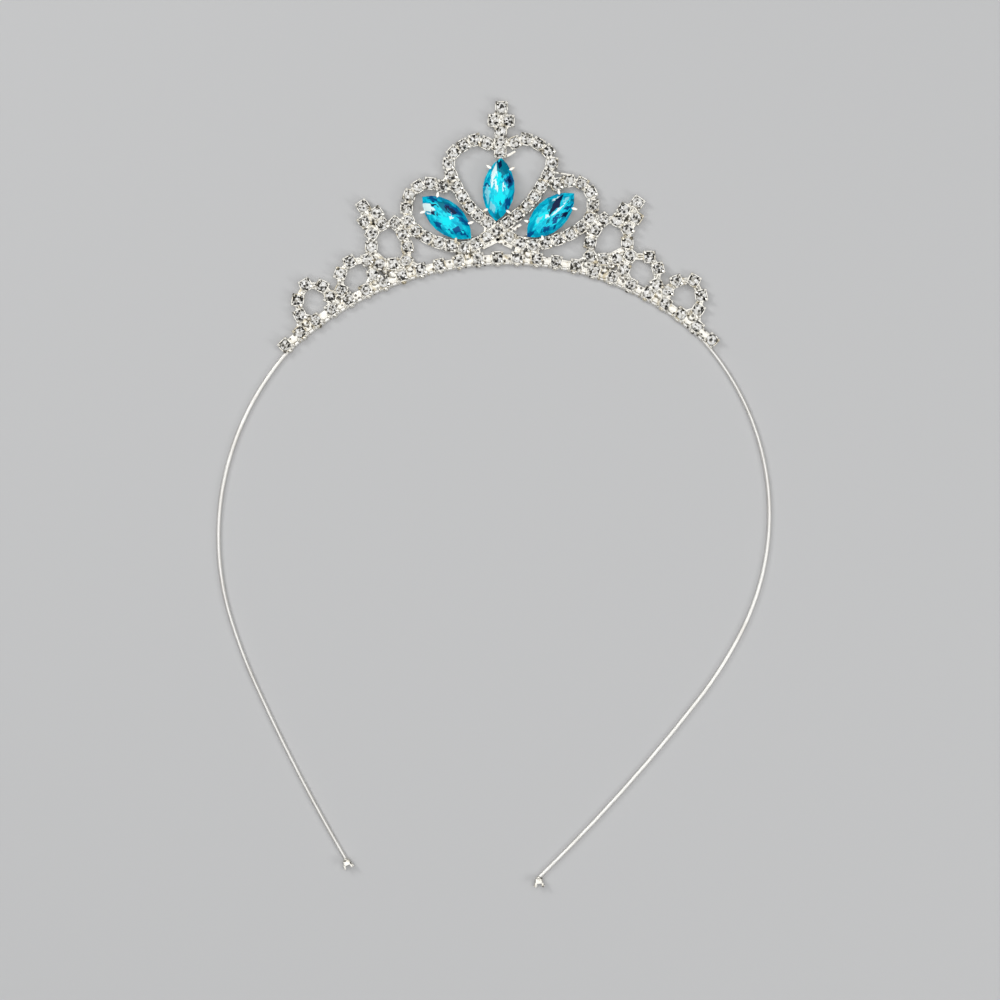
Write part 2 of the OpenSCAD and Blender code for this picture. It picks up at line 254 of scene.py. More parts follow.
wire_halves, wire_ends = [], []
for side in (LEFT, RIGHT):
    half, end, heading = wire_side(side)
    wire_halves.append(half)
    wire_ends.append((end, heading))
wire = joined(wire_halves)
shape(wire,
      ("EDGE", any_item, merged(SAME_POINT)),
      ("FACE", any_item, lambda: bpy.ops.mesh.normals_make_consistent(inside=False)))
band_low, band_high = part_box("headband")
xs, ys = [v.co.x for v in wire.data.vertices], [v.co.y for v in wire.data.vertices]
TO_FRAME = Vector(((band_low.x + band_high.x - min(xs) - max(xs)) / 2, band_high.y - max(ys), 0))
wire.data.transform(Matrix.Translation(TO_FRAME))
smoothed(wire, 60)

wire_plating = Finish("wire_plating")
scuffs = wire_plating.noise(scale=420, detail=4, roughness=0.65)
worn = wire_plating.patches(low=0.5, high=0.78, scale=60)
wire_plating.set(
    Base_Color=wire_plating.mix(worn, SILVER, WORN_SILVER),
    Metallic=1.0,
    Roughness=scuffs * 0.2 + 0.42,
    Normal=wire_plating.bump(scuffs, strength=0.2, distance=0.03 * MM))
finished(wire, "wire", wire_plating, "plated_wire", "headband")

# The end cups: an empty claw cup is soldered on each end of the wire, so that
# the cut wire can't scratch. It is pressed from brass as the chain's cups are,
# a little smaller, and its four claws are left open.

END_CUP_LENGTH = 1.15 * MM
END_CUP_SIDE = 1.9 * MM
END_CUP_SHEET = 0.2 * MM
END_CUP_WELL = 0.75 * MM
END_CUP_HEIGHT = 1.1 * MM
# how far each cup is turned from the way that its wire runs, in degrees
END_TURNS = {LEFT: -9, RIGHT: 49}
CUP_SILVER = (0.82, 0.795, 0.73, 1)
BURNT_FLUX = (0.42, 0.34, 0.18, 1)
# the near-black of the small specks of painted shade on the metal
SPECK_SHADE = (0.05, 0.042, 0.032, 1)
SPECK_SCALE = 950


def face_at(height, up=1):
    """Picks the faces that look up, or down with up=-1, at a height."""
    return lambda face: face.normal.z * up > 0.8 and abs(face.calc_center_median().z - height) < 0.02 * MM


def top_most(face):
    return face.normal.z > 0.9


def bottom_most(face):
    return face.normal.z < -0.9


def many_sided(pick):
    """Narrows a test to the one wide face inside a rim or a ring of facets."""
    return lambda face: pick(face) and len(face.verts) > 8


def upright(edge):
    a, b = edge.verts
    return abs(a.co.z - b.co.z) > 0.5 * MM


def scaled(x, y=None, z=1):
    return lambda: bpy.ops.transform.resize(value=(x, y or x, z))


def extruded(x, y, z):
    return lambda: bpy.ops.mesh.extrude_region_move(TRANSFORM_OT_translate={"value": (x, y, z)})


def bevelled(offset, segments=1):
    return lambda: bpy.ops.mesh.bevel(offset=offset, segments=segments, affect="EDGES")


def inset_by(width):
    return lambda: bpy.ops.mesh.inset(thickness=width)


def block(size, middle):
    return fresh(bpy.ops.mesh.primitive_cube_add, size=1, location=middle, scale=size)


def bead(radius, middle=(0, 0, 0), stretch=(1, 1, 1)):
    return fresh(bpy.ops.mesh.primitive_ico_sphere_add, subdivisions=2, radius=radius, location=middle,
                 scale=stretch)


def open_claw(down, out):
    """The claw at one corner, short and thick. The lower two are splayed to the sides, to lie flat."""
    splay = out * (0.4 if down > 0 else 0.08) * MM
    root, knee, tip = [END_CUP_LENGTH + above * MM for above in (0.1, 0.55, 0.88)]
    claw = block((0.42 * MM, 0.5 * MM, 0.3 * MM), (down * 0.7 * MM, out * 0.72 * MM, root - 0.15 * MM))
    return shape(claw,
                 ("FACE", top_most, extruded(0, splay * 0.6, knee - root)),
                 ("FACE", face_at(knee), scaled(0.9, 0.85)),
                 ("FACE", face_at(knee), extruded(0, splay * 0.4, tip - knee)),
                 ("FACE", face_at(tip), scaled(0.75)),
                 ("EDGE", any_item, bevelled(0.06 * MM)))


def end_cup():
    """The cup with its open end up, and under its base the solder that takes the wire."""
    shell = block((END_CUP_SIDE, END_CUP_SIDE, END_CUP_LENGTH), (0, 0, END_CUP_LENGTH / 2))
    shape(shell,
          ("FACE", bottom_most, scaled(0.82)),
          ("EDGE", upright, bevelled(0.3 * MM, 3)),
          ("FACE", top_most, inset_by(END_CUP_SHEET)),
          ("FACE", many_sided(top_most), extruded(0, 0, -END_CUP_WELL)),
          ("FACE", many_sided(top_most), scaled(0.7)),
          ("EDGE", lambda e: all(abs(v.co.z) < 0.01 * MM for v in e.verts), bevelled(0.2 * MM, 3)))
    nub = bead(0.6 * MM, (0.42 * MM, 0, 0.05 * MM), (0.95, 1, 0.8))
    return joined([shell, nub] + [open_claw(down, out) for down in (-1, 1) for out in (-1, 1)])


def laid_over(end, turn):
    """The place of a cup that lies on its side at a wire's end, its base to the wire."""
    return (Matrix.Translation((end.x, end.y, END_CUP_HEIGHT)) @ Matrix.Rotation(turn, 4, "Z")
            @ Matrix.Rotation(math.radians(90), 4, "Y"))


both_ends = []
for side, (end, heading) in zip((LEFT, RIGHT), wire_ends):
    cup = end_cup()
    cup.data.transform(laid_over(end + TO_FRAME, heading + math.radians(END_TURNS[side])))
    both_ends.append(cup)

solder_skin = Finish("solder_skin")
runs = solder_skin.noise(scale=1300, detail=3, roughness=0.6)
burnt = solder_skin.patches(low=0.54, high=0.66, scale=500)
# small dark specks: painted shade, such as falls in the gaps between parts
solder_shade_specks = solder_skin.specks(share=0.7, scale=SPECK_SCALE)
solder_skin.set(
    Base_Color=solder_skin.mix(solder_shade_specks * 0.85, solder_skin.mix(burnt * 0.75, CUP_SILVER, BURNT_FLUX), SPECK_SHADE),
    Metallic=1.0,
    Roughness=runs * 0.4 + 0.2,
    Normal=solder_skin.bump(runs, strength=0.8, distance=0.16 * MM))
finished(smoothed(joined(both_ends), 35), "end_cups", solder_skin, "plated_wire")

# The cups of the crown: square claw cups pressed from thin brass sheet and
# silver plated. Each stands round one stone, and its four corners are bent
# over it. They are soldered into the shapes of the crown.

CUP_WIDTH = 2.74 * MM
CUP_SHEET = 0.18 * MM
CUP_LIFT = 0.07 * MM
CUP_WALL_TOP = 1.3 * MM
WELL_SIDE = CUP_WIDTH - 2 * CUP_SHEET
WELL_DEPTH = 0.8 * MM
CLAW_TOP = 1.98 * MM
CLAW_TIP_OUT = 1.62 * MM
MOST_TILT = 2
TILT_HEIGHT = 1 * MM
CAD_CUP_WIDTH = 2.6 * MM
CAD_CUP_TOP = 1.95 * MM
STONE_NODES = ["row_stones", "heart_stones", "cross_stones", "left_loop_stones", "right_loop_stones",
               "left_ring_stones", "right_ring_stones", "left_side_stones", "right_side_stones"]
# the near-black of the painted shade in the wells under the stones
WELL_SHADE_COLOUR = (0.06, 0.05, 0.04, 1)


def stone_middles(node):
    """The middle of each loose stone in a CAD node."""
    work = bmesh.new()
    work.from_mesh(NODES[node].data)
    bmesh.ops.remove_doubles(work, verts=work.verts, dist=SAME_POINT)
    waiting = set(work.verts)
    middles = []
    while waiting:
        reached = [waiting.pop()]
        stone = []
        while reached:
            corner = reached.pop()
            stone.append(corner.co.copy())
            for edge in corner.link_edges:
                other = edge.other_vert(corner)
                if other in waiting:
                    waiting.remove(other)
                    reached.append(other)
        xs, ys = [p.x for p in stone], [p.y for p in stone]
        middles.append(Vector(((min(xs) + max(xs)) / 2, (min(ys) + max(ys)) / 2, 0)))
    work.free()
    return sorted(middles, key=lambda m: (round(m.x, 5), round(m.y, 5)))


claw_tips = [v.co.copy() for v in NODES["crown"].data.vertices if abs(v.co.z - CAD_CUP_TOP) < 0.01 * MM]


def cup_turn(middle):
    """How far the cup round a stone is turned, from the corners of its claws."""
    corner = CAD_CUP_WIDTH * math.sqrt(0.5)
    cosines = sines = 0
    for tip in claw_tips:
        x, y = tip.x - middle.x, tip.y - middle.y
        if abs(math.hypot(x, y) - corner) < 0.015 * MM:
            four_turns = 4 * math.atan2(y, x)
            cosines, sines = cosines + math.cos(four_turns), sines + math.sin(four_turns)
    return (math.atan2(sines, cosines) / 4 + math.pi / 4) if cosines or sines else 0


seats = {name: [(m, cup_turn(m)) for m in stone_middles(name)] for name in STONE_NODES}
all_middles = [middle for name in STONE_NODES for middle, turn in seats[name]]
chance = random.Random(7)


def tilted(seat):
    """A seat's place, tipped a little as hand soldering leaves it."""
    middle, turn = seat
    tip = Matrix.Rotation(math.radians(chance.uniform(-MOST_TILT, MOST_TILT)), 4, "X")
    tip @= Matrix.Rotation(math.radians(chance.uniform(-MOST_TILT, MOST_TILT)), 4, "Y")
    lift = Matrix.Translation((0, 0, TILT_HEIGHT))
    return Matrix.Translation(middle) @ Matrix.Rotation(turn, 4, "Z") @ lift @ tip @ lift.inverted()


def copies(model, places):
    """A copy of the model at each place, with its own mesh. The model itself goes."""
    made = []
    for place in places:
        copy = model.copy()
        copy.data = model.data.copy()
        bpy.context.collection.objects.link(copy)
        copy.data.transform(place)
        made.append(copy)
    bpy.data.objects.remove(model)
    return made


def toned(piece, name, tone_of):
    """Gives each face of a piece a tone of its own."""
    tone = piece.data.attributes.new(name, "FLOAT", "FACE")
    for face, value in zip(piece.data.polygons, tone.data):
        value.value = tone_of(face)
    return piece


def wide_top(square_mm):
    """Picks the faces that look up and are larger than an area."""
    return lambda face: top_most(face) and face.calc_area() > square_mm * MM * MM


def claw_plate(quarter, hand):
    """One half of a corner claw: a strip that stands on the wall beside a corner and leans in."""
    knee = CUP_WALL_TOP + 0.4 * MM
    plate = block((0.22 * MM, 0.72 * MM, 0.6 * MM),
                  (CUP_WIDTH / 2 - 0.12 * MM, hand * (CUP_WIDTH / 2 - 0.38 * MM), knee - 0.3 * MM))
    shape(plate,
          ("FACE", top_most, extruded(-0.09 * MM, -hand * 0.06 * MM, CLAW_TOP - knee)),
          ("FACE", face_at(CLAW_TOP), scaled(0.9, 0.75)),
          ("EDGE", lambda e: min(v.co.z for v in e.verts) > knee - 0.01 * MM, bevelled(0.05 * MM)))
    plate.data.transform(Matrix.Rotation(math.radians(90 * quarter), 4, "Z"))
    return plate


def claw_tip(quarter):
    """The point of a corner claw, bent down on the stone."""
    tip = block((0.3 * MM, 0.5 * MM, 0.2 * MM), (CLAW_TIP_OUT, 0, CLAW_TOP - 0.14 * MM))
    point = CLAW_TIP_OUT - 0.35 * MM
    shape(tip,
          ("FACE", lambda f: f.normal.x < -0.9, extruded(-0.45 * MM, 0, -0.16 * MM)),
          ("FACE", lambda f: f.normal.x < -0.5 and f.calc_center_median().x < point, scaled(1, 0.5, 0.7)),
          ("EDGE", lambda e: max(v.co.z for v in e.verts) > CLAW_TOP - 0.3 * MM, bevelled(0.04 * MM)))
    tip.data.transform(Matrix.Rotation(math.radians(45 + 90 * quarter), 4, "Z"))
    return tip


def in_well(face):
    """1 in the well under the stone, which is painted dark as shade, and 0 elsewhere."""
    inside = max(abs(face.center.x), abs(face.center.y)) < WELL_SIDE / 2 + 0.01 * MM
    return 1.0 if inside and face.center.z < CUP_WALL_TOP - 0.05 * MM and face.normal.z > -0.5 else 0.0


cup = block((CUP_WIDTH, CUP_WIDTH, CUP_WALL_TOP - CUP_LIFT), (0, 0, (CUP_WALL_TOP + CUP_LIFT) / 2))
shape(cup,
      ("FACE", bottom_most, scaled(0.88)),
      ("EDGE", upright, bevelled(0.28 * MM, 2)),
      ("FACE", top_most, inset_by(CUP_SHEET)),
      ("FACE", wide_top(3), extruded(0, 0, -WELL_DEPTH)))
toned(cup, "dulled", in_well)
cup = joined([cup] + [claw_plate(quarter, hand) for quarter in range(4) for hand in (-1, 1)]
             + [claw_tip(quarter) for quarter in range(4)])
cup_places = [tilted(seat) for name in STONE_NODES for seat in seats[name]]

cup_plating = Finish("cup_plating")
grain = cup_plating.noise(scale=900, detail=3, roughness=0.6)
flux = cup_plating.patches(low=0.54, high=0.66, scale=420)
# small dark specks: painted shade, such as falls in the gaps between parts
cup_shade_specks = cup_plating.specks(share=0.7, scale=SPECK_SCALE)
# the well under each stone is painted dark as shade, and its roughness is raised
dulled = cup_plating.by_face("dulled")
stained = cup_plating.mix(flux * 0.7, CUP_SILVER, BURNT_FLUX)
cup_plating.set(
    Base_Color=cup_plating.mix(dulled, cup_plating.mix(cup_shade_specks * 0.85, stained, SPECK_SHADE), WELL_SHADE_COLOUR),
    Metallic=1.0,
    Roughness=grain * 0.35 + 0.15 + dulled * 0.4,
    Normal=cup_plating.bump(grain, strength=0.6, distance=0.1 * MM))
finished(joined(copies(cup, cup_places)), "cups", cup_plating, "plated_cups", "crown")

# The links and the solder: the base row is cup chain with its flat links, and
# everything else is held by solder run in wherever cups come near. More solder
# holds the row to the wire.

CLOSE = 3.35 * MM
REACH = 3.8 * MM
CHAIN_REACH = 4.65 * MM
GAP_SPAN = 4.7 * MM
GAP_DEPTH = 1.5 * MM
LINK_BASE = 0.16 * MM
LINK_CROWN = 0.08 * MM
ROW_LINK_WIDTH = 1.6 * MM
ROW_LINK_TOP = 0.95 * MM
ROW_LINK_SHORTER = 1.6 * MM
ROW_LINK_ASIDE = 0.1 * MM
JOINT_TOP = 1.1 * MM
BEAD_ALONG = 0.76 * MM
BEAD_ASIDE = 1.2 * MM
COLLAR_ASIDE = 1.6 * MM
DROP_RADIUS = 0.72 * MM
DROP_HEIGHT = 0.76 * MM
DROP_TUCK = 0.85 * MM
FILLET_WIDTH = 1.25 * MM
FILLET_TOP = 1.15 * MM
# the ends, in millimetres, of the strips of solder that run where two chains cross
FILLETS = [((1.3, 57.75), (-2.65, 55.9)), ((0.4, 57.75), (4.2, 56.0)),
           ((25.9, 53.65), (29.1, 55.3)), ((-27.2, 54.8), (-25.2, 53.0))]

row = [middle for middle, turn in sorted(seats["row_stones"], key=lambda seat: seat[0].x)]
row_pairs = {(tuple(a), tuple(b)) for a, b in zip(row, row[1:])}


def neighbours():
    """Each two cups that a link or solder joins, the left one first, how far apart they are, whether both
    are in the base row, and whether a third cup is nearer to both."""
    for i, one in enumerate(all_middles):
        for other in all_middles[i + 1:]:
            a, b = sorted((one, other), key=lambda middle: middle.x)
            gap = (a - b).length
            in_row = (tuple(a), tuple(b)) in row_pairs
            between = any((a - c).length < gap and (b - c).length < gap for c in all_middles)
            if in_row or gap < (REACH if between else CHAIN_REACH):
                yield a, b, gap, in_row, between


def small_gaps():
    """The middle of each small gap that three cups leave among them, and how far it is from them."""
    for i, one in enumerate(all_middles):
        near = [c for c in all_middles[i + 1:] if (c - one).length < GAP_SPAN]
        for j, two in enumerate(near):
            for three in near[j + 1:]:
                middle = (one + two + three) / 3
                away = min((middle - c).length for c in all_middles)
                if (two - three).length < GAP_SPAN and away > GAP_DEPTH:
                    yield middle, away


def link_plate(length, width, top):
    """A flat strip along x with a slightly raised middle."""
    plate = block((length, width, top - LINK_BASE), (0, 0, (top + LINK_BASE) / 2))
    return shape(plate,
                 ("FACE", top_most, inset_by(0.1 * MM)),
                 ("FACE", wide_top(0.7), extruded(0, 0, LINK_CROWN)),
                 ("FACE", wide_top(0.7), scaled(0.97, 0.8)))


def lying(piece, a, b, shift=Vector((0, 0, 0))):
    """Turns a piece from the x axis to the line between two points, and moves it to their middle."""
    turn = math.atan2(b.y - a.y, b.x - a.x)
    piece.data.transform(Matrix.Translation((a + b) / 2 + shift) @ Matrix.Rotation(turn, 4, "Z"))
    return piece


metal = []
lumps = []
for a, b, gap, in_row, between in neighbours():
    way = (b - a).normalized()
    middle, turn = (a + b) / 2, math.atan2(way.y, way.x)
    close = gap < CLOSE
    if in_row:
        to_wire = Vector((way.y, -way.x, 0))
        link = link_plate(gap - ROW_LINK_SHORTER, ROW_LINK_WIDTH, ROW_LINK_TOP)
        metal.append(lying(link, a, b, to_wire * ROW_LINK_ASIDE))
        for along in (-BEAD_ALONG, BEAD_ALONG):
            lumps.append((middle + way * along + to_wire * BEAD_ASIDE, turn + chance.uniform(-0.3, 0.3),
                          (0.5, 0.8, chance.uniform(0.7, 0.95))))
        lumps.append((a + to_wire * COLLAR_ASIDE, turn, (0.95, 0.7, 0.95)))
    else:
        width = chance.uniform(1.5, 1.9) if close else 0.95 if between else 1.45
        metal.append(lying(link_plate(gap, width * MM, JOINT_TOP), a, b))
        if gap > CUP_WIDTH:
            spread = (gap - CUP_WIDTH) / MM + 0.55
            across = chance.uniform(0.85, 1.2) if close else chance.uniform(0.6, 0.9)
            lumps.append((middle, turn, (spread, across, chance.uniform(0.75, 1.0))))
for middle, away in small_gaps():
    size = (away - DROP_TUCK) / DROP_RADIUS
    lumps.append((middle, 0, (size, size, 0.95)))
for start, end in FILLETS:
    a, b = Vector((*start, 0)) * MM, Vector((*end, 0)) * MM
    metal.append(lying(link_plate((b - a).length, FILLET_WIDTH, FILLET_TOP), a, b))
metal += copies(bead(DROP_RADIUS), [
    Matrix.Translation((middle.x, middle.y, DROP_HEIGHT)) @ Matrix.Rotation(turn, 4, "Z")
    @ Matrix.Diagonal((*size, 1)) for middle, turn, size in lumps])
finished(smoothed(joined(metal), 40), "solder", solder_skin, "plated_cups")

# The round stones: clear cut glass with a foil back, an eight-sided table and
# sixteen facets round it. The light and dark that the foil throws from facet to
# facet are painted on, so every facet has its own tone of painted reflection.

STONE_RADIUS = 1.17 * MM
TABLE_RADIUS = 0.64 * MM
STONE_GIRDLE = 1.2 * MM
STONE_GIRDLE_TOP = 1.35 * MM
STONE_TABLE = 1.82 * MM
STONE_DEPTH = 0.7 * MM
TABLE_TONES = (0.15, 0.4, 0.55, 0.7, 0.85, 1.0)
SIDE_TONES = (0.1, 0.6, 0.85, 1.0, 1.0, 1.1)
DARK_GLINT = (0.01, 0.009, 0.008, 1)


def cut_across(method):
    """Cuts four-sided facets in two."""
    return lambda: bpy.ops.mesh.quads_convert_to_tris(quad_method=method)


stone = fresh(bpy.ops.mesh.primitive_circle_add, vertices=8, radius=STONE_RADIUS, fill_type="NGON",
              location=(0, 0, STONE_GIRDLE), rotation=(0, 0, math.radians(22.5)))
shape(stone,
      ("FACE", any_item, extruded(0, 0, STONE_GIRDLE_TOP - STONE_GIRDLE)),
      ("FACE", face_at(STONE_GIRDLE_TOP), extruded(0, 0, STONE_TABLE - STONE_GIRDLE_TOP)),
      ("FACE", face_at(STONE_TABLE), scaled(TABLE_RADIUS / STONE_RADIUS)),
      ("FACE", bottom_most, extruded(0, 0, -STONE_DEPTH)),
      ("FACE", bottom_most, scaled(0.15)),
      ("FACE", lambda f: 0.3 < f.normal.z < 0.9, cut_across("FIXED")),
      ("FACE", face_at(STONE_TABLE), bpy.ops.mesh.poke))


# each facet's tone is a painted reflection of the foil, light or dark
def painted_foil_reflection(face):
    return chance.choice(TABLE_TONES if face.normal.z > 0.9 else SIDE_TONES)


clear_cut = Finish("clear_cut")
# the whole colour is painted reflection: facet tones, glints and small dark specks
inside = clear_cut.noise(scale=1500, detail=2, roughness=0.5)
glint = clear_cut.ramp(clear_cut.by_face("tone") + inside * 0.4 - 0.2,
                       (0.0, (0.02, 0.018, 0.014)), (0.15, (0.06, 0.055, 0.045)), (0.3, (0.25, 0.23, 0.19)),
                       (0.6, (0.55, 0.53, 0.48)), (0.9, (0.98, 0.97, 0.94)))
clear_cut.set(
    Base_Color=clear_cut.mix(clear_cut.specks(share=0.9, scale=SPECK_SCALE) * 0.97, glint, DARK_GLINT),
    Metallic=0.0,
    Roughness=0.15,
    Specular_IOR_Level=0.35)
cut_stones = copies(stone, cup_places)
for name in STONE_NODES:
    of_node = [toned(cut_stones.pop(0), "tone", painted_foil_reflection) for seat in seats[name]]
    finished(joined(of_node), "cut_" + name, clear_cut, "clear_stone", name)

# The settings of the navettes: each is a boat-shaped cup of thin brass sheet,
# silver plated, with four slim claws bent over the stone's edge, and a bar at
# its lower end that is soldered to the chain.

NAVETTE_LENGTH = 14.4 * MM
NAVETTE_WIDTH = 7.2 * MM
ARC_RADIUS = (NAVETTE_LENGTH ** 2 / 4 + NAVETTE_WIDTH ** 2 / 4) / NAVETTE_WIDTH
SETTING_INSET = 0.35 * MM
SETTING_BASE = 0.02 * MM
SETTING_FOOT = 0.5 * MM
SETTING_TOP = 1.9 * MM
SETTING_SHEET = 0.3 * MM
SETTING_WELL = 1.5 * MM
CLAW_ALONG = 0.65
CLAW_BEND = 2.4 * MM


def navette_place(node):
    """The middle of a navette, and the turn of its long axis from its lower end to its upper one."""
    work = [v.co for v in NODES[node].data.vertices]
    tips = max(((a, b) for a in work for b in work), key=lambda pair: (pair[0].xy - pair[1].xy).length)
    low, high = sorted(tips, key=lambda tip: tip.y)
    middle, turn = (low + high) / 2, math.atan2(high.y - low.y, high.x - low.x)
    return Matrix.Translation((middle.x, middle.y, 0)) @ Matrix.Rotation(turn, 4, "Z")


def boat(inset, height, steps):
    """A flat boat shape of two arcs that meet in two tips."""
    radius = ARC_RADIUS - inset
    lift = ARC_RADIUS - NAVETTE_WIDTH / 2
    half = math.acos(lift / radius)
    tip = radius * math.sin(half)
    outline = fresh(bpy.ops.mesh.primitive_plane_add, size=0.1 * MM, location=(-tip, 0, height))
    return shape(outline,
                 ("VERT", any_item, lambda: bpy.ops.mesh.merge(type="CENTER")),
                 ("VERT", None, spun((0, -lift, height), -2 * math.degrees(half), steps)),
                 ("VERT", None, spun((0, lift, height), -2 * math.degrees(half), steps)),
                 ("VERT", any_item, merged(0.02 * MM)),
                 ("VERT", any_item, bpy.ops.mesh.edge_face_add),
                 ("FACE", lambda f: f.normal.z < 0, bpy.ops.mesh.flip_normals))


def boat_claw(end, side):
    """A claw that stands beside the stone and lies over its edge. It is made at the origin, x outward."""
    claw = block((0.45 * MM, 0.6 * MM, CLAW_BEND - SETTING_FOOT), (0.2 * MM, 0, (CLAW_BEND + SETTING_FOOT) / 2))
    shape(claw,
          ("FACE", bottom_most, scaled(0.6)),
          ("FACE", top_most, extruded(0.1 * MM, 0, 0.3 * MM)),
          ("FACE", lambda f: f.normal.x < -0.7 and f.calc_center_median().z > CLAW_BEND,
           extruded(-0.35 * MM, 0, 0.1 * MM)),
          ("FACE", lambda f: f.normal.x < -0.7 and f.calc_center_median().x < -0.2 * MM,
           scaled(1, 0.4, 0.45)),
          ("FACE", lambda f: f.normal.x > 0.7 and f.calc_center_median().z > CLAW_BEND,
           extruded(0.5 * MM, 0, 0.12 * MM)),
          ("FACE", lambda f: f.normal.x > 0.7 and f.calc_center_median().x > 0.7 * MM,
           scaled(1, 0.4, 0.5)),
          ("EDGE", any_item, bevelled(0.03 * MM)))
    lean = math.asin(CLAW_ALONG * NAVETTE_LENGTH / 2 / ARC_RADIUS)
    across = side * (ARC_RADIUS * math.cos(lean) - ARC_RADIUS + NAVETTE_WIDTH / 2)
    claw.data.transform(Matrix.Translation((end * CLAW_ALONG * NAVETTE_LENGTH / 2, across, 0))
                        @ Matrix.Rotation(side * (math.pi / 2 - end * lean), 4, "Z"))
    return claw


def boat_setting():
    """A setting at the origin, its lower end towards -x, with its bar and the solder under it."""
    wall = boat(SETTING_INSET, SETTING_BASE, 14)
    shape(wall,
          ("FACE", any_item, extruded(0, 0, SETTING_FOOT - SETTING_BASE)),
          ("FACE", face_at(SETTING_FOOT), scaled(1.02)),
          ("FACE", face_at(SETTING_FOOT), extruded(0, 0, SETTING_TOP - SETTING_FOOT)),
          ("FACE", face_at(SETTING_TOP), inset_by(SETTING_SHEET)),
          ("FACE", many_sided(face_at(SETTING_TOP)), extruded(0, 0, -SETTING_WELL)))
    bar = link_plate(length=2.4 * MM, width=1.25 * MM, top=0.7 * MM)
    bar.data.transform(Matrix.Translation((-NAVETTE_LENGTH / 2 - 0.15 * MM, 0, 0)))
    foot = bead(0.7 * MM, (-NAVETTE_LENGTH / 2 - 0.2 * MM, 0, 0.7 * MM), (1.1, 1, 0.8))
    return joined([wall, bar, foot] + [boat_claw(end, side) for end in (-1, 1) for side in (-1, 1)])


navettes = ["middle_navette", "left_navette", "right_navette"]
navette_places = {node: navette_place(node) for node in navettes}
settings = joined(copies(boat_setting(), navette_places.values()))
finished(smoothed(settings, 35), "settings", cup_plating, "plated_cups")

# The cut links: where a length of chain was snipped off, the tail of its last
# link is left on. Two of them show inside the crown, bright and bent aside, and
# one lies along the top of the right loop.

TAIL_LIFT = 0.75 * MM
TAIL_SHEET = 0.5 * MM
# each tail's two ends and its width, in millimetres
LINK_TAILS = [((2.99, 76.24), (4.83, 77.32), 0.62), ((4.35, 59.68), (6.1, 60.9), 0.8),
              ((13.4, 72.6), (17.6, 71.95), 0.4)]


def link_tail(start, end, width):
    a, b = Vector((*start, 0)) * MM, Vector((*end, 0)) * MM
    tail = link_plate((b - a).length, width * MM, TAIL_SHEET)
    shape(tail, ("FACE", lambda f: f.normal.x > 0.9, scaled(1, 0.7, 0.7)))
    return lying(tail, a, b, Vector((0, 0, TAIL_LIFT)))


tails = joined([link_tail(*tail) for tail in LINK_TAILS])
finished(tails, "link_tails", solder_skin, "plated_cups")

# The navettes: aqua cut stones with a foil back, pointed at both ends, with a
# long table. Each has long flashes painted on it, painted reflections dark at
# one place and white at another, which follow its length.

NAVETTE_KEEL = 0.6 * MM
NAVETTE_GIRDLE = 2.3 * MM
NAVETTE_GIRDLE_TOP = 2.5 * MM
NAVETTE_TABLE = 3.7 * MM
# each ring of facets: how far out it lies, as a share of the outline, and how high
CUT_LEVELS = [(0.84, 3.15 * MM), (0.66, NAVETTE_TABLE), (0.44, NAVETTE_TABLE), (0.2, NAVETTE_TABLE)]
LEVEL_STEP = 0.0001 * MM
TABLE_SHARE = 0.68
SPLINTERS = 6
SPLINTER_SHIFT = (0.16, 0.07, 0)
FLASH_EDGE = 6
NAVY, BLUE, TEAL = (0.002, 0.012, 0.06, 1), (0.0, 0.09, 0.27, 1), (0.0, 0.19, 0.29, 1)
BRIGHT, PALE, WHITE = (0.0, 0.86, 0.96, 1), (0.25, 0.72, 0.84, 1), (0.8, 1.0, 1.0, 1)
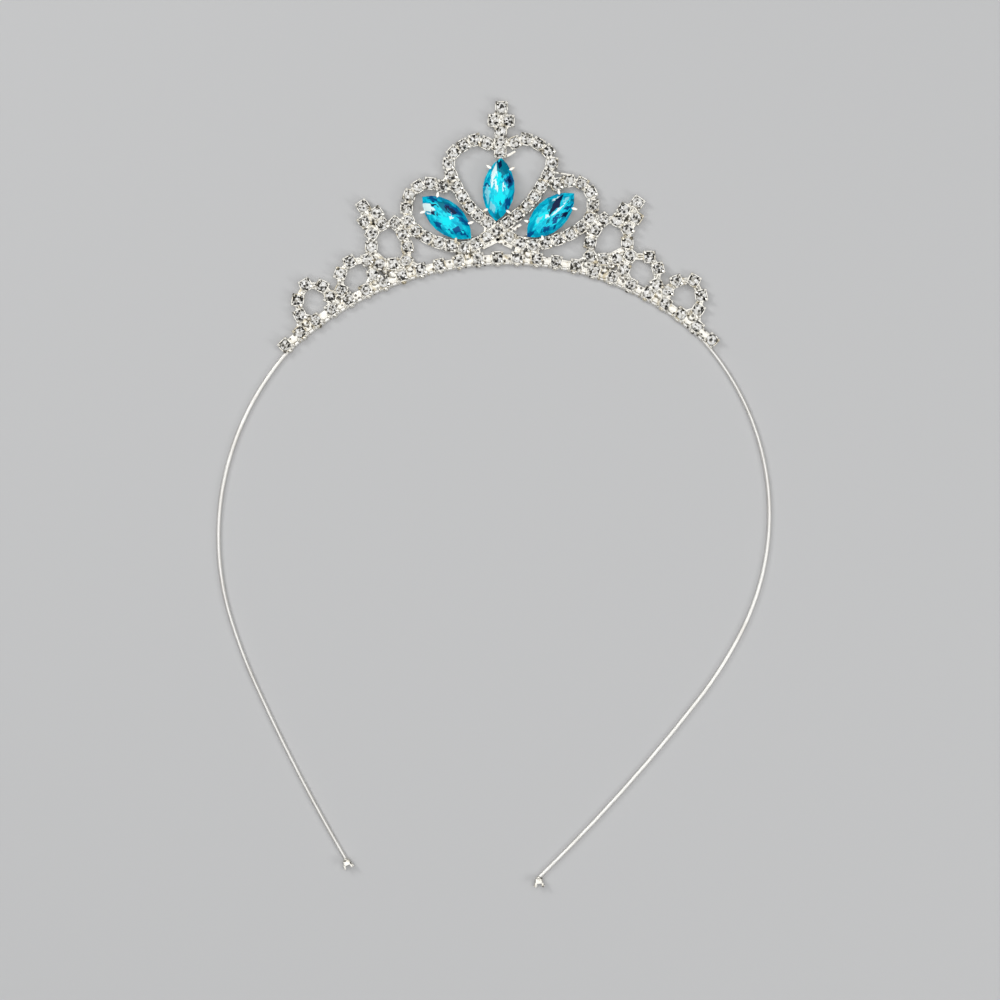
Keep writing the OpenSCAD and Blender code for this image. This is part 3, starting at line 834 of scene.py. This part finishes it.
# each stone's painted reflections, seen from the front, in half lengths: how far
# along from its middle to its upper end, across, half length, half width, turn, colour
FLASHES = {
    "middle_navette": [
        (0.7, -0.1, 0.34, 0.34, 0, TEAL), (0.76, 0.03, 0.24, 0.07, 0, NAVY),
        (0.3, 0.05, 0.34, 0.1, 0, BRIGHT), (-0.3, -0.05, 0.4, 0.2, 0, BRIGHT),
        (0.4, 0.2, 0.42, 0.11, -5, WHITE), (0.1, 0.07, 0.18, 0.05, 14, WHITE),
        (0.27, -0.32, 0.27, 0.17, 0, BLUE), (0.26, -0.32, 0.17, 0.1, 0, NAVY),
        (0.07, -0.15, 0.14, 0.05, -10, WHITE), (0.08, 0.4, 0.09, 0.14, 0, BLUE),
        (-0.15, 0.34, 0.32, 0.11, 8, PALE), (-0.6, 0.15, 0.26, 0.08, 12, PALE),
        (-0.42, -0.32, 0.22, 0.1, -10, BLUE), (-0.48, -0.1, 0.09, 0.06, 0, TEAL),
        (-0.86, -0.03, 0.12, 0.12, 0, TEAL)],
    "left_navette": [
        (0.2, -0.25, 0.56, 0.19, 10, TEAL), (-0.05, -0.3, 0.38, 0.17, 8, BLUE),
        (0.02, -0.26, 0.24, 0.1, 8, NAVY), (0.62, 0.17, 0.34, 0.16, 6, WHITE),
        (0.57, -0.04, 0.17, 0.07, 20, NAVY), (0.38, 0.16, 0.12, 0.08, 0, NAVY),
        (0.72, -0.15, 0.22, 0.09, 18, BLUE), (-0.1, 0.1, 0.3, 0.16, 0, BRIGHT),
        (-0.11, -0.09, 0.08, 0.1, 20, WHITE), (0.02, 0.36, 0.2, 0.1, -6, BLUE),
        (-0.34, 0.26, 0.1, 0.07, 0, BLUE), (-0.52, 0.1, 0.18, 0.12, 20, BLUE),
        (-0.74, 0.07, 0.2, 0.09, 8, BLUE), (-0.5, -0.25, 0.34, 0.08, 14, BLUE)],
    "right_navette": [
        (-0.3, 0.12, 0.34, 0.13, 0, BRIGHT), (-0.34, 0.12, 0.2, 0.07, 0, PALE),
        (0.27, 0.22, 0.34, 0.12, 12, TEAL), (0.33, 0.13, 0.46, 0.12, 17, NAVY),
        (0.34, -0.05, 0.4, 0.055, 0, WHITE), (-0.08, 0.05, 0.1, 0.09, 0, WHITE),
        (0.45, 0.29, 0.13, 0.03, -16, WHITE), (0.67, 0.02, 0.16, 0.07, 0, PALE),
        (0.56, -0.2, 0.19, 0.09, -14, BLUE), (0.3, -0.3, 0.26, 0.07, -6, NAVY),
        (0.02, -0.2, 0.18, 0.1, 0, BLUE), (-0.19, -0.09, 0.14, 0.05, 10, TEAL),
        (-0.17, -0.36, 0.12, 0.08, 0, BLUE), (-0.45, -0.22, 0.2, 0.1, 0, BLUE),
        (0.8, -0.12, 0.14, 0.06, -20, TEAL), (-0.9, 0.0, 0.13, 0.1, 0, BLUE)],
}


def cut_navette():
    """A boat-shaped stone: a girdle, two rows of crown facets and a table in long facets."""
    stone = boat(0, NAVETTE_GIRDLE, 8)
    steps = [("FACE", any_item, extruded(0, 0, NAVETTE_GIRDLE_TOP - NAVETTE_GIRDLE))]
    size, height = 1, NAVETTE_GIRDLE_TOP
    for level, (share, top) in enumerate(CUT_LEVELS):
        top += level * LEVEL_STEP
        steps += [("FACE", many_sided(face_at(height)), extruded(0, 0, top - height)),
                  ("FACE", many_sided(face_at(top)), scaled(share / size))]
        size, height = share, top
    steps += [("FACE", many_sided(top_most), bpy.ops.mesh.poke),
              ("FACE", bottom_most, extruded(0, 0, NAVETTE_KEEL - NAVETTE_GIRDLE)),
              ("FACE", face_at(NAVETTE_KEEL, up=-1), scaled(0.75, 0.1)),
              ("FACE", lambda f: f.normal.z > 0.1 and len(f.verts) == 4, cut_across("FIXED_ALTERNATE"))]
    return shape(stone, *steps)


def cut_tone(face):
    """Painted reflection: brighter facets in the table than round it."""
    along, across = abs(face.center.x) / NAVETTE_LENGTH * 2, abs(face.center.y) / NAVETTE_WIDTH * 2
    return chance.uniform(0.5, 0.9) if along ** 1.6 + across < TABLE_SHARE else chance.uniform(0.1, 0.65)


def aqua_cut(node):
    """The stone's aqua colour in splinters, lighter or darker facet by facet as painted reflection, with each
    of its painted flashes laid over as a long kite.
    """
    finish = Finish("aqua_" + node)
    place = navette_places[node]
    along = finish.node("ShaderNodeMapping", {"vector_type": "TEXTURE"}, {
        "Vector": finish.place, "Location": place.to_translation(), "Rotation": place.to_euler(),
        "Scale": [NAVETTE_LENGTH / 2] * 3})
    narrow = finish.node("ShaderNodeMapping", {}, {"Vector": along, "Scale": (1, 2, 1)})
    splinter = finish.node("ShaderNodeTexVoronoi", {"feature": "F1"}, {"Vector": narrow, "Scale": SPLINTERS}, 1)
    own = finish.node("ShaderNodeSeparateColor", {}, {0: splinter})
    shift = finish.node("ShaderNodeVectorMath", {"operation": "SUBTRACT"}, {0: splinter, 1: (0.5, 0.5, 0.5)})
    along = finish.node("ShaderNodeVectorMath", {"operation": "MULTIPLY_ADD"},
                        {0: shift, 1: SPLINTER_SHIFT, 2: along})
    colour = finish.ramp(finish.by_face("tone") * 0.65 + own * 0.4,
                         (0.0, (0.0, 0.16, 0.36)), (0.3, (0.0, 0.34, 0.55)),
                         (0.6, (0.0, 0.58, 0.78)), (0.85, (0.02, 0.8, 0.92)))
    # each flash is a painted reflection, laid over the colour as a kite
    for u, v, length, width, turn, flash in FLASHES[node]:
        kite = finish.node("ShaderNodeMapping", {"vector_type": "TEXTURE"}, {
            "Vector": along, "Location": (u, v, 0), "Rotation": (0, 0, math.radians(turn)),
            "Scale": (length, width, 1)})
        spread = finish.node("ShaderNodeVectorMath", {"operation": "ABSOLUTE"}, {0: kite})
        away = finish.node("ShaderNodeVectorMath", {"operation": "DOT_PRODUCT"}, {0: spread, 1: (1, 1, 0)}, 1)
        within = finish.node("ShaderNodeMath", {"operation": "MULTIPLY_ADD", "use_clamp": True},
                             {0: away, 1: -FLASH_EDGE, 2: FLASH_EDGE})
        colour = finish.mix(within, colour, flash)
    finish.set(Base_Color=colour, Metallic=0.0, Roughness=0.08, Specular_IOR_Level=0.14)
    return finish


for node in navettes:
    cut = toned(cut_navette(), "tone", cut_tone)
    cut.data.transform(navette_places[node])
    finished(cut, "cut_" + node, aqua_cut(node), "aqua_stone", node)

# The surface, the light and the camera: a pale board, a wide soft light
# overhead and two smaller ones for the sparkle, and the camera straight above.

BOARD_GREY = (0.55, 0.55, 0.55, 1)
ROOM_LIGHT = (0.75, 0.77, 0.8, 1)
LIT_POINT = Vector((0, 0.03, 0))
PHOTO_MIDDLE = (1.37 * MM, -1.0 * MM)
PHOTO_WIDTH = 225 * MM
LENS, SENSOR = 100, 36

floor = fresh(bpy.ops.mesh.primitive_plane_add, size=3, location=(0, 0, 0))
floor.name = "floor"
board = Finish("board")
board.set(Base_Color=BOARD_GREY, Roughness=0.75)
floor.data.materials.append(board.material)


def soft_light(name, place, size, power):
    lamp = bpy.data.lights.new(name, "AREA")
    lamp.size, lamp.energy = size, power
    light = bpy.data.objects.new(name, lamp)
    light.location = place
    light.rotation_euler = (LIT_POINT - Vector(place)).to_track_quat("-Z", "Y").to_euler()
    bpy.context.collection.objects.link(light)


soft_light("overhead", place=(0.0, 0.05, 1.1), size=1.6, power=10)
soft_light("key", place=(-0.6, 0.45, 0.6), size=0.25, power=2.2)
soft_light("fill", place=(0.65, -0.3, 0.5), size=0.25, power=1.4)
world = bpy.data.worlds.new("room")
world.use_nodes = True
world.node_tree.nodes["Background"].inputs["Color"].default_value = ROOM_LIGHT
world.node_tree.nodes["Background"].inputs["Strength"].default_value = 0.3
bpy.context.scene.world = world

lens = bpy.data.cameras.new("camera")
lens.lens, lens.sensor_width = LENS, SENSOR
camera = bpy.data.objects.new("camera", lens)
camera.location = (*PHOTO_MIDDLE, PHOTO_WIDTH * LENS / SENSOR)
bpy.context.collection.objects.link(camera)
bpy.context.scene.camera = camera
bpy.context.scene.view_settings.view_transform = "Standard"
